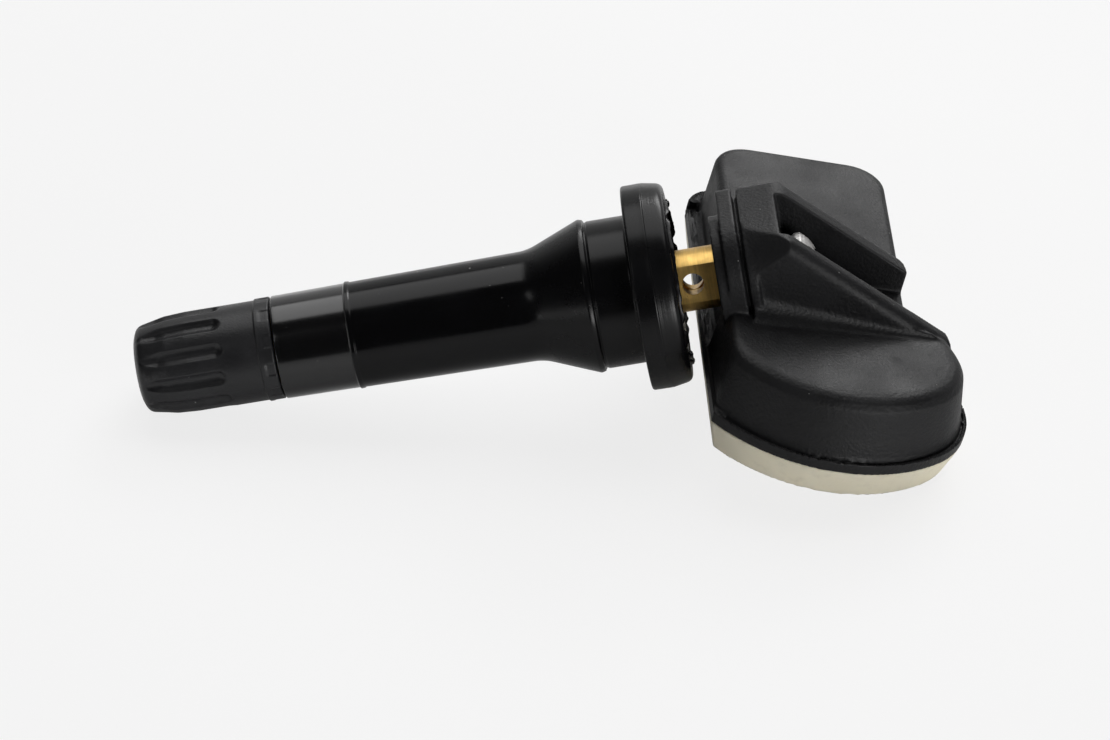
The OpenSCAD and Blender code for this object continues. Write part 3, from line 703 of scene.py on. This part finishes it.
def rings_of(
    line: Sequence[tuple[float, float]],
    columns: int,
    reach: Callable[[float, float, np.ndarray], np.ndarray] | None = None,
) -> np.ndarray:
    """Turns a profile around the valve's axis.

    Args:
        line: place along the axis and distance from it of each point.
        columns: how many points a ring has.
        reach: changes a ring's radius, from its place, radius and angles.

    Returns:
        The points, by station, column and axis.
    """
    angles = np.linspace(0.0, 2 * math.pi, columns, endpoint=False)
    rings = []
    for x, r in line:
        radius = np.full(columns, r) if reach is None else reach(x, r, angles)
        sides = (radius * np.cos(angles), radius * np.sin(angles))
        rings.append(np.stack([np.full(columns, x), *sides], 1))
    return np.array(rings)


def soft_min(a: np.ndarray, b: np.ndarray, width: float) -> np.ndarray:
    """Returns the smaller of two heights, rounded over a width where they meet."""
    mix = np.clip(0.5 + 0.5 * (b - a) / width, 0.0, 1.0)
    return b * (1 - mix) + a * mix - width * mix * (1 - mix)


def copy_of(node: str, name: str) -> bpy.types.Object:
    """Copies a CAD node's mesh into a new piece.

    Args:
        node: the name of the CAD node.
        name: the name of the new piece.

    Returns:
        The new piece.
    """
    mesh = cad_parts[node].data.copy()
    mesh.name = name
    mesh.materials.clear()
    return linked(name, mesh)


def applied(piece: bpy.types.Object) -> None:
    """Applies all modifiers of a piece to its mesh."""
    graph = bpy.context.evaluated_depsgraph_get()
    mesh = bpy.data.meshes.new_from_object(piece.evaluated_get(graph))
    piece.modifiers.clear()
    piece.data = mesh


def softened(
    piece: bpy.types.Object, voxel: float, passes: int, tilt: Matrix, keep: float = 1.0
) -> None:
    """Rounds all edges of a piece as a mould does.

    Args:
        piece: the piece, a copy of a CAD node.
        voxel: the size of the grid that the mesh is made again on, in metres.
        passes: how often the mesh is smoothed.
        tilt: the frame in which the piece's flat faces lie along the grid.
        keep: the share of the faces that is kept.
    """
    piece.data.transform(tilt.inverted())
    remesh = piece.modifiers.new("grid", "REMESH")
    remesh.mode = "VOXEL"
    remesh.voxel_size = voxel
    smooth = piece.modifiers.new("round", "SMOOTH")
    smooth.factor = 0.5
    smooth.iterations = passes
    if keep < 1:
        thin = piece.modifiers.new("thin", "DECIMATE")
        thin.ratio = keep
    applied(piece)
    piece.data.transform(tilt)
    piece.data.shade_smooth()


@dataclass
class DustCap:
    """The dust cap, with its grip flutes, notched lip and inner thread."""

    tip: float = -47.85
    mouth: float = -34.4
    radius: float = 4.77
    lip_radius: float = 4.9
    lip_width: float = 1.45
    bore_radius: float = 3.9
    end_wall: float = 1.3
    flutes: int = 11
    flute_radius: float = 0.85
    flute_depth: float = 0.42
    flute_ends: tuple[float, float] = (-48.0, -39.95)
    flute_fade: tuple[float, float] = (0.6, 1.8)
    phase: float = math.radians(4.25)
    notch_half_angle: float = math.radians(7.7)
    notch_depth: float = 0.09
    notch_edge: float = 0.02
    notch_start: float = 0.4
    edge_round: float = 0.08
    bank: float = 4.0
    pitch: float = 0.794
    thread_depth: float = 0.2
    columns: int = 352

    def offset(self, angles: np.ndarray) -> np.ndarray:
        """Returns the angle from each column to its nearest flute's middle."""
        step = 2 * math.pi / self.flutes
        return (angles - self.phase + step / 2) % step - step / 2

    def outer_reach(self, x: float, r: float, angles: np.ndarray) -> np.ndarray:
        """Cuts the flutes and the notches of the lip into a ring.

        Args:
            x: the ring's place along the axis.
            r: the ring's plain radius.
            angles: the angle of each column.

        Returns:
            The radius at each column.
        """
        off = self.offset(angles)
        lateral = self.radius * off
        low, high = self.flute_ends
        beyond = max(low - x, 0.0, x - high)
        away = np.sqrt(lateral**2 + beyond**2)
        inside = np.clip(self.flute_radius**2 - away**2, 0.0, None)
        start, length = self.flute_fade
        sunk = self.flute_depth * min(1.0, max(0.0, (x - self.tip - start) / length))
        floor = r - sunk + self.flute_radius - np.sqrt(inside)
        outside = np.clip(away - self.flute_radius, 0.0, None)
        radius = soft_min(np.full_like(angles, r), floor + self.bank * outside, self.edge_round)
        depth = np.clip((x - (self.mouth - self.lip_width + self.notch_start)) / 0.12, 0.0, 1.0)
        edge = np.clip((self.notch_half_angle - np.abs(off)) / self.notch_edge, 0.0, 1.0)
        return radius - self.notch_depth * depth * edge

    def bore_reach(self, x: float, r: float, angles: np.ndarray) -> np.ndarray:
        """Cuts the inner thread into a ring.

        Args:
            x: the ring's place along the axis.
            r: the ring's plain radius.
            angles: the angle of each column.

        Returns:
            The radius at each column.
        """
        turn = (x / self.pitch - angles / (2 * math.pi)) % 1.0
        groove = np.clip(1.25 - 2.5 * np.abs(turn - 0.5), 0.0, 1.0)
        inside = np.clip((self.mouth - 1.0 - x) / 0.3, 0.0, 1.0)
        return r + self.thread_depth * groove * inside * np.clip((x - self.tip - 2.4) / 0.3, 0.0, 1.0)

    def shell(self) -> bpy.types.Object:
        """Builds the cap as one closed skin.

        Returns:
            The cap.
        """
        tip, mouth, r = self.tip, self.mouth, self.radius
        outside = rounded(
            [
                (tip, 0.6, 0.0),
                (tip + 0.1, 3.0, 1.5),
                (tip + 0.50, 4.08, 1.2),
                (tip + 3.2, r - 0.12, 3.0),
                (tip + 5.2, r, 1.0),
                (mouth - self.lip_width - 0.12, r, 0.1),
                (mouth - self.lip_width, self.lip_radius, 0.08),
                (mouth - 0.14, self.lip_radius, 0.1),
                (mouth, self.lip_radius - 0.16, 0.0),
            ]
        )
        inside = rounded(
            [
                (mouth, self.bore_radius + 0.3, 0.0),
                (mouth - 0.35, self.bore_radius, 0.1),
                (tip + self.end_wall, self.bore_radius, 0.3),
                (tip + self.end_wall, 0.5, 0.0),
            ]
        )
        rings = np.vstack(
            [
                rings_of(divided(outside, 0.16), self.columns, self.outer_reach),
                rings_of(divided(inside, 0.16), self.columns, self.bore_reach),
            ]
        )
        return turned("dust_cap", rings)

    def build(self) -> None:
        """Builds, dresses and places the cap and its washer."""
        cap = self.shell()
        CAP_PLASTIC.dress(cap)
        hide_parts("cap_shell")
        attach(cap, Body.CAP.value)
        SEAL_RUBBER.dress(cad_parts["cap_seal"])


@dataclass
class RubberValve:
    """The moulded rubber of the valve, with its flange and the flash on its back."""

    length: float = 34.3
    tip_radius: float = 4.9
    step_line: float = -27.13
    neck_radius: float = 5.24
    flare_slope: float = math.radians(22)
    ridge: float = -4.5
    ridge_radius: float = 7.32
    seat_radius: float = 7.02
    flange_radius: float = 9.75
    flange_depth: float = 4.0
    flash_radius: float = 7.8
    flash_height: float = 0.34
    flash_section: tuple[tuple[float, float], ...] = (
        (0.0, -0.18),
        (0.55, -0.13),
        (0.93, -0.08),
        (1.0, 0.02),
        (0.9, 0.09),
        (0.5, 0.12),
        (0.0, 0.2),
    )
    tail_radius: float = 2.95
    shank_radius: float = 3.2
    columns: int = 224

    def skin(self) -> list[tuple[float, float]]:
        """Returns the profile of the outside and of the hole through it."""
        neck, ridge, seat = self.neck_radius, self.ridge_radius, self.seat_radius
        rise = (ridge - neck) / math.tan(self.flare_slope)
        flange, back = self.flange_radius, self.flange_depth
        line = rounded(
            [
                (-self.length + 0.5, self.shank_radius + 0.02, 0.0),
                (-self.length, self.shank_radius + 0.3, 0.1),
                (-self.length, self.tip_radius, 0.18),
                (self.step_line - 0.16, self.tip_radius + 0.085, 0.05),
                (self.step_line - 0.02, self.tip_radius + 0.23, 0.06),
                (self.step_line + 0.30, self.tip_radius + 0.20, 0.06),
                (self.step_line + 0.42, self.tip_radius + 0.12, 0.06),
                (self.ridge - rise, neck, 5.0),
                (self.ridge + 0.02, ridge, 0.32),
                (self.ridge + 0.42, ridge - 0.1, 0.1),
                (self.ridge + 0.60, seat - 0.12, 0.08),
                (self.ridge + 0.86, seat, 0.10),
                (0.0, seat, 0.34),
                (0.0, flange - 0.02, 0.30),
                (1.80, flange, 0.0),
                (1.84, flange + 0.01, 0.0),
                (1.88, flange - 0.03, 0.0),
                (1.92, flange - 0.03, 0.0),
                (1.96, flange + 0.01, 0.0),
                (2.00, flange, 0.0),
                (back - 0.05, flange - 0.35, 1.15),
                (back - 0.02, self.flash_radius + 0.25, 0.10),
                (back - 0.12, self.flash_radius - 0.35, 0.15),
                (back - 0.10, self.tail_radius + 0.7, 0.2),
                (back - 0.55, self.tail_radius + 0.05, 0.0),
            ],
            6,
        )
        return divided(line, 0.4)

    def body(self) -> bpy.types.Object:
        """Builds the rubber as one closed skin around the metal stem.

        Returns:
            The rubber.
        """
        outside = rings_of(self.skin(), self.columns)
        hole = rings_of(
            [
                (3.2, self.tail_radius + 0.05),
                (2.6, 4.6),
                (0.6, 4.6),
                (-0.6, self.shank_radius + 0.02),
                (-self.length + 0.5, self.shank_radius + 0.02),
            ],
            self.columns,
        )
        return turned("valve_rubber", np.vstack([outside, hole]), (False, False))

    def flash(self) -> bpy.types.Object:
        """Builds the torn flash ring on the back of the flange.

        Returns:
            The ring.
        """
        pick = random.Random(11)
        columns = 260
        height = np.zeros(columns)
        place = 0
        while place < columns:
            run = pick.randint(2, 9)
            height[place : place + run] = pick.choice((0.08, 0.45, 0.7, 0.85, 1.0, 1.0))
            place += run
        height = (np.roll(height, 1) + 2 * height + np.roll(height, -1)) / 4
        height = self.flash_height * (height + np.array([pick.uniform(-0.06, 0.06) for _ in height]))
        lean = np.array([pick.uniform(-0.05, 0.05) for _ in height])
        lean = (np.roll(lean, 1) + lean + np.roll(lean, -1)) / 3
        angles = np.linspace(0.0, 2 * math.pi, columns, endpoint=False)
        start = self.flange_depth - 0.16
        rings = []
        for up, out in self.flash_section:
            x = start + (0.12 + height) * up
            r = self.flash_radius + out + lean * up
            rings.append(np.stack([x, r * np.cos(angles), r * np.sin(angles)], 1))
        rings.append(rings[0])
        return turned("flange_flash", np.array(rings), (False, False))

    def build(self) -> None:
        """Builds, dresses and places the rubber."""
        rubber = self.body()
        RUBBER.dress(rubber)
        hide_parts("stem_rubber")
        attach(rubber, Body.VALVE.value)
        flash = self.flash()
        RUBBER.dress(flash)
        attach(flash, Body.VALVE.value)


@dataclass
class MetalStem:
    """The brass stem and the valve core in its mouth."""

    core: tuple[tuple[str, Finish], ...] = (
        ("core_barrel", CORE_METAL),
        ("core_seal", CORE_RING),
        ("core_pin", PIN_BRASS),
        ("core_spring", SPRING_WIRE),
        ("core_cup", SEAL_RUBBER),
    )

    def build(self) -> None:
        """Dresses the stem and the core."""
        BRASS.dress(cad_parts["stem_tube"])
        for node, finish in self.core:
            finish.dress(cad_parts[node])


@dataclass
class SensorHousing:
    """The tilted housing: shell with tower and webs, base cover and clamp screw."""

    tilt_degrees: float = 22.0
    foot: float = 5.5
    axis_height: float = 9.5
    shell_grid: float = 0.14
    cover_grid: float = 0.24
    screw_grid: float = 0.05
    ledge_height: float = 4.4
    ledge_drop: float = 0.4
    ledge_band: float = 0.4
    ledge_start: float = 1.2
    level_from: float = 0.85
    level_ramp: float = 0.08

    def tilt(self) -> Matrix:
        """Returns the frame of the base, with the underside at height 0."""
        return (
            Matrix.Translation((self.foot * MM, 0, 0))
            @ Matrix.Rotation(math.radians(self.tilt_degrees), 4, "Y")
            @ Matrix.Translation((0, 0, -self.axis_height * MM))
        )

    def moulded(
        self, node: str, name: str, grid: float, passes: int, finish: Finish, keep: float = 1.0
    ) -> bpy.types.Object:
        """Rounds a copy of a CAD node and lets it stand for the node.

        Args:
            node: the name of the CAD node.
            name: the name of the new piece.
            grid: the size of the grid, in millimetres.
            passes: how often the mesh is smoothed.
            finish: the piece's finish.
            keep: the share of the faces that is kept.

        Returns:
            The new piece.
        """
        piece = copy_of(node, name)
        softened(piece, grid * MM, passes, self.tilt(), keep)
        finish.dress(piece)
        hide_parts(node)
        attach(piece, Body.VALVE.value)
        LOG.info("%s: %d faces", name, len(piece.data.polygons))
        return piece

    def sink_ledge(self, piece: bpy.types.Object) -> None:
        """Lowers the ledge between the walls and the rim's lip, as a drip groove.

        Args:
            piece: the housing, already rounded.
        """
        back = self.tilt().inverted()
        flat = back.to_3x3()
        down = self.tilt().to_3x3() @ Vector((0, 0, -self.ledge_drop * MM))
        places = [back @ vertex.co / MM for vertex in piece.data.vertices]
        start = min(place.x for place in places) + self.ledge_start
        for vertex, place in zip(piece.data.vertices, places):
            up = (flat @ vertex.normal).z
            near = max(0.0, 1.0 - abs(place.z - self.ledge_height) / self.ledge_band)
            if near > 0 and up > self.level_from and place.x > start:
                level = min(1.0, (up - self.level_from) / self.level_ramp)
                vertex.co += down * min(1.0, place.x - start) * min(1.0, 2.5 * near) * level

    def build(self) -> None:
        """Builds, dresses and places the housing's pieces."""
        shell = self.moulded(
            "housing_shell", "sensor_housing", self.shell_grid, 4, HOUSING_PLASTIC, 0.3
        )
        self.sink_ledge(shell)
        self.moulded("base_cover", "cover_plate", self.cover_grid, 3, COVER_PLASTIC)
        self.moulded("clamp_screw", "button_screw", self.screw_grid, 2, SCREW_METAL, 0.7)


@dataclass
class Electronics:
    """The parts inside the closed housing."""

    finishes: tuple[tuple[str, Finish], ...] = (
        ("circuit_board", BOARD),
        ("battery_cell", CELL_METAL),
        ("battery_tab_top", TAB_METAL),
        ("battery_tab_bottom", TAB_METAL),
        ("sensor_chip", CHIP),
        ("port_seal", SILICONE),
        ("radio_chip", CHIP),
        ("lf_coil", FERRITE),
        ("crystal", CRYSTAL_METAL),
        ("antenna_loop", ANTENNA_METAL),
        ("chip_capacitors", CERAMIC),
    )

    def build(self) -> None:
        """Dresses the inner parts."""
        for node, finish in self.finishes:
            finish.dress(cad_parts[node])


@dataclass
class SoftBox:
    """One large soft lamp, aimed at the object."""

    name: str
    place: Colour
    size: tuple[float, float]
    power: float
    aim: Colour = (0.0, 0.0, 0.0)

    def build(self) -> None:
        """Makes the lamp."""
        data = bpy.data.lights.new(self.name, "AREA")
        data.shape = "RECTANGLE"
        data.size, data.size_y = self.size
        data.energy = self.power
        lamp = bpy.data.objects.new(self.name, data)
        bpy.context.scene.collection.objects.link(lamp)
        lamp.location = self.place
        beam = Vector(self.aim) - Vector(self.place)
        lamp.rotation_euler = beam.to_track_quat("-Z", "Y").to_euler()


@dataclass
class Studio:
    """Floor, world, lamps and camera."""

    elevation: float = 37.0
    swing: float = 3.0
    roll: float = 9.3
    focal: float = 5500.0
    pixels_for_mm: float = 10.6
    anchor: tuple[float, float] = (636.5, 288.5)
    frame_size: tuple[int, int] = (1110, 740)
    floor_tilt: float = 11.2
    floor_contact: Colour = (-44.0, 0.0, -5.0)
    room: tuple[float, float] = (0.03, 0.08)
    room_span: tuple[float, float] = (-0.2, 0.9)
    sensor: float = 36.0
    lamps: list[SoftBox] = field(
        default_factory=lambda: [
            SoftBox("key_box", (0.213, 0.20, 0.40), (0.67, 0.38), 1.6, (0.213, 0.0, 0.0)),
            SoftBox("back_box", (0.27, 0.50, 0.31), (0.30, 0.18), 1.2, (0.03, 0.0, 0.0)),
            SoftBox("glint_box", (-0.19, -0.245, 0.39), (0.07, 0.13), 0.06),
            SoftBox("right_box", (0.36, -0.52, 0.0), (0.30, 0.24), 1.9),
            SoftBox("left_box", (-0.42, -0.40, 0.0), (0.24, 0.20), 0.65),
        ]
    )

    def floor_frame(self) -> Matrix:
        """Returns the frame of the floor that the object lies on."""
        contact = Vector(self.floor_contact) * MM
        return Matrix.Translation(contact) @ Matrix.Rotation(math.radians(self.floor_tilt), 4, "Y")

    def floor(self) -> None:
        """Lays the floor under the cap and the edge of the base."""
        size, rise, steps, height = 1.6, 0.5, 10, 0.85
        outline = [(-size, 0.0), (size * 0.45, 0.0)]
        outline += [
            (size * 0.45 + rise * math.sin(a), rise * (1 - math.cos(a)))
            for a in (math.pi / 2 * k / steps for k in range(1, steps + 1))
        ]
        outline.append((size * 0.45 + rise, height))
        points = [(side * size, y, z) for y, z in outline for side in (-1, 1)]
        faces = [(2 * k, 2 * k + 1, 2 * k + 3, 2 * k + 2) for k in range(len(outline) - 1)]
        mesh = bpy.data.meshes.new("floor")
        mesh.from_pydata(points, [], faces)
        mesh.shade_smooth()
        floor = linked("floor", mesh)
        floor.matrix_world = self.floor_frame()
        StageFinish().dress(floor)

    def world(self) -> None:
        """Sets a dim room, paler behind the object, that the camera sees as white."""
        world = bpy.data.worlds.new("studio")
        bpy.context.scene.world = world
        world.use_nodes = True
        nodes = Nodes(world.node_tree)
        place = nodes.node("ShaderNodeTexCoord", {}, {}, output="Generated")
        y = nodes.node("ShaderNodeSeparateXYZ", {}, {0: place}, output=1)
        front, back = self.room
        level = front + (back - front) * y.between(*self.room_span)
        soft = nodes.node("ShaderNodeBackground", {}, {"Color": (1, 1, 1, 1), "Strength": level})
        white = nodes.node("ShaderNodeBackground", {}, {"Color": (1, 1, 1, 1), "Strength": 1.0})
        seen = nodes.ray("Is Camera Ray") + nodes.ray("Is Transmission Ray")
        mixed = nodes.node("ShaderNodeMixShader", {}, {0: seen, 1: soft, 2: white})
        out = nodes.tree.nodes["World Output"]
        nodes.tree.links.new(mixed.socket, out.inputs["Surface"])

    def camera(self) -> None:
        """Places the camera at the photograph's angle."""
        rise, swing, roll = (math.radians(a) for a in (self.elevation, self.swing, self.roll))
        back = Vector(
            (math.sin(swing), -math.cos(swing) * math.cos(rise), math.cos(swing) * math.sin(rise))
        )
        along = Vector((1, 0, 0))
        flat = (along - back * along.dot(back)).normalized()
        upright = back.cross(flat)
        right = flat * math.cos(roll) - upright * math.sin(roll)
        up = back.cross(right)
        distance = self.focal / self.pixels_for_mm
        width, height = self.frame_size
        shift_x = (self.anchor[0] - width / 2) / self.focal * distance
        shift_y = -(self.anchor[1] - height / 2) / self.focal * distance
        place = back * distance - right * shift_x - up * shift_y
        data = bpy.data.cameras.new("camera")
        data.sensor_width = self.sensor
        data.lens = self.focal / width * self.sensor
        data.clip_start = 0.01
        camera = bpy.data.objects.new("camera", data)
        bpy.context.scene.collection.objects.link(camera)
        turn = Matrix((right, up, back)).transposed().to_4x4()
        camera.matrix_world = Matrix.Translation(place * MM) @ turn
        bpy.context.scene.camera = camera

    def build(self) -> None:
        """Sets up the studio."""
        self.floor()
        self.world()
        for lamp in self.lamps:
            lamp.build()
        self.camera()
        bpy.context.scene.view_settings.view_transform = "Standard"


def main() -> None:
    """Builds the studio and each sub-assembly in order."""
    logging.basicConfig(level=logging.INFO, format="%(name)s: %(message)s")
    for piece in (
        Studio(),
        DustCap(),
        RubberValve(),
        MetalStem(),
        SensorHousing(),
        Electronics(),
    ):
        piece.build()
        LOG.info("built %s", type(piece).__name__)


if __name__ == "__main__":
    main()
